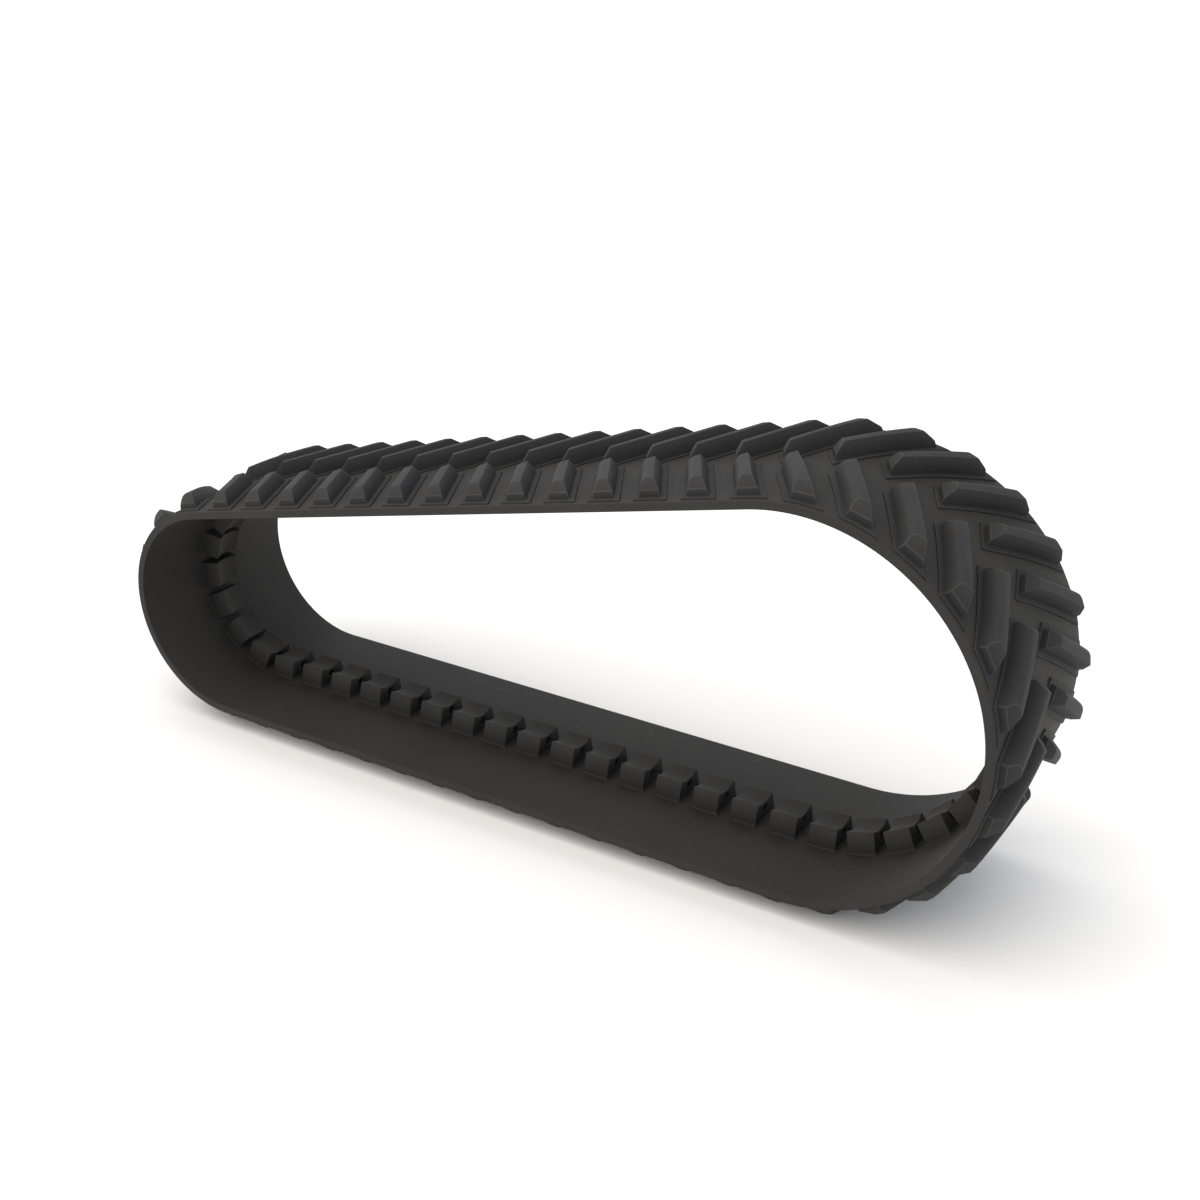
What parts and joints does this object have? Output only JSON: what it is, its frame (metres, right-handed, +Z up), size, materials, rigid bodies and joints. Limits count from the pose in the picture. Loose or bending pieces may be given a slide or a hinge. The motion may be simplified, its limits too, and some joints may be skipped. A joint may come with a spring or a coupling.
{
  "type": "rubber track belt",
  "caption": "Endless rubber track belt with a central row of guide lugs inside, staggered chevron tread bars outside, and steel cables and cord plies in its carcass.",
  "frame": {"origin": "on the ground, under the middle of the belt's length and width", "axes": "+X along the ground run towards the drive wheel, +Y across the belt towards its right edge, +Z up"},
  "size_m": [3.536, 0.762, 1.454],
  "materials": {
    "carcass_rubber": "matt moulded",
    "tread_rubber": "matt moulded",
    "lug_rubber": "matt moulded",
    "cover_gum": "matt",
    "cable_steel": "brass-coated wire rope",
    "cord_ply": "rubbered cord sheet"
  },
  "bodies": {
    "root": {"wheel_side_liner": "carcass_rubber", "main_cables": "cable_steel", "cable_cover": "cover_gum", "inner_bias_ply": "cord_ply", "outer_bias_ply": "cord_ply", "cross_ply": "cord_ply", "left_edge_strip": "carcass_rubber", "right_edge_strip": "carcass_rubber", "tread_base": "carcass_rubber", "guide_lugs_drive": "lug_rubber", "guide_lugs_return": "lug_rubber", "guide_lugs_idler": "lug_rubber", "guide_lugs_ground": "lug_rubber", "left_bars_drive": "tread_rubber", "left_bars_return": "tread_rubber", "left_bars_idler": "tread_rubber", "left_bars_ground": "tread_rubber", "right_bars_drive": "tread_rubber", "right_bars_return": "tread_rubber", "right_bars_idler": "tread_rubber", "right_bars_ground": "tread_rubber"}
  },
  "joints": []
}
